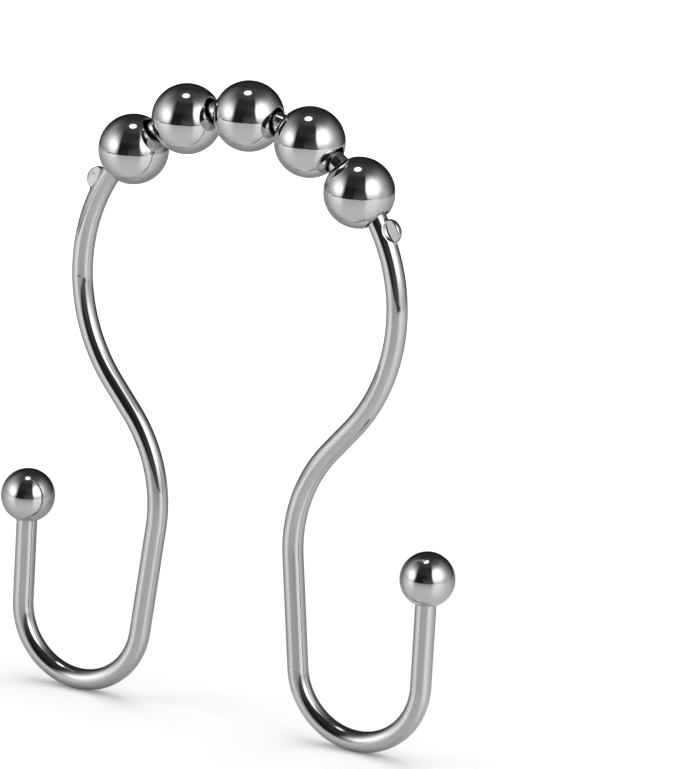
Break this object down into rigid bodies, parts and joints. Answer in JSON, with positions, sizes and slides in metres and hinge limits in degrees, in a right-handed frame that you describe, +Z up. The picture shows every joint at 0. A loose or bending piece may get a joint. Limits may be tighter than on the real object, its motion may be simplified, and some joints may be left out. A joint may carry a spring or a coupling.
{
  "type": "shower curtain hook",
  "caption": "Double shower curtain hook of bent round wire, with rolling balls strung on its arch, a stop ear at each end of the string and a small ball on each hooked tip.",
  "frame": {"origin": "centre of the arch that rides over the rod, in the plane of the wire", "axes": "+X across the hook towards the front leg, +Y along the rod, +Z up"},
  "size_m": [0.0734, 0.01, 0.093],
  "materials": {
    "wire": "polished chrome plate",
    "roller_ball": "polished chrome plate",
    "end_ball": "polished chrome plate"
  },
  "bodies": {
    "frame": {"wire_frame": "wire", "end_ball_front": "end_ball", "end_ball_back": "end_ball"},
    "roller_1": {"roller_ball_1": "roller_ball"},
    "roller_2": {"roller_ball_2": "roller_ball"},
    "roller_3": {"roller_ball_3": "roller_ball"},
    "roller_4": {"roller_ball_4": "roller_ball"},
    "roller_5": {"roller_ball_5": "roller_ball"}
  },
  "joints": [
    {"name": "roller_1_spin", "type": "hinge", "parent": "frame", "child": "roller_1", "pos_m": [-0.01803, 0, 0.01768], "axis": [0.7001, 0, 0.714], "continuous": true},
    {"name": "roller_2_spin", "type": "hinge", "parent": "frame", "child": "roller_2", "pos_m": [-0.00964, 0, 0.02334], "axis": [0.9243, 0, 0.3818], "continuous": true},
    {"name": "roller_3_spin", "type": "hinge", "parent": "frame", "child": "roller_3", "pos_m": [0.0003, 0, 0.02525], "axis": [0.9999, 0, -0.0118], "continuous": true},
    {"name": "roller_4_spin", "type": "hinge", "parent": "frame", "child": "roller_4", "pos_m": [0.01019, 0, 0.02311], "axis": [0.915, 0, -0.4034], "continuous": true},
    {"name": "roller_5_spin", "type": "hinge", "parent": "frame", "child": "roller_5", "pos_m": [0.01844, 0, 0.01725], "axis": [0.6831, 0, -0.7303], "continuous": true}
  ]
}
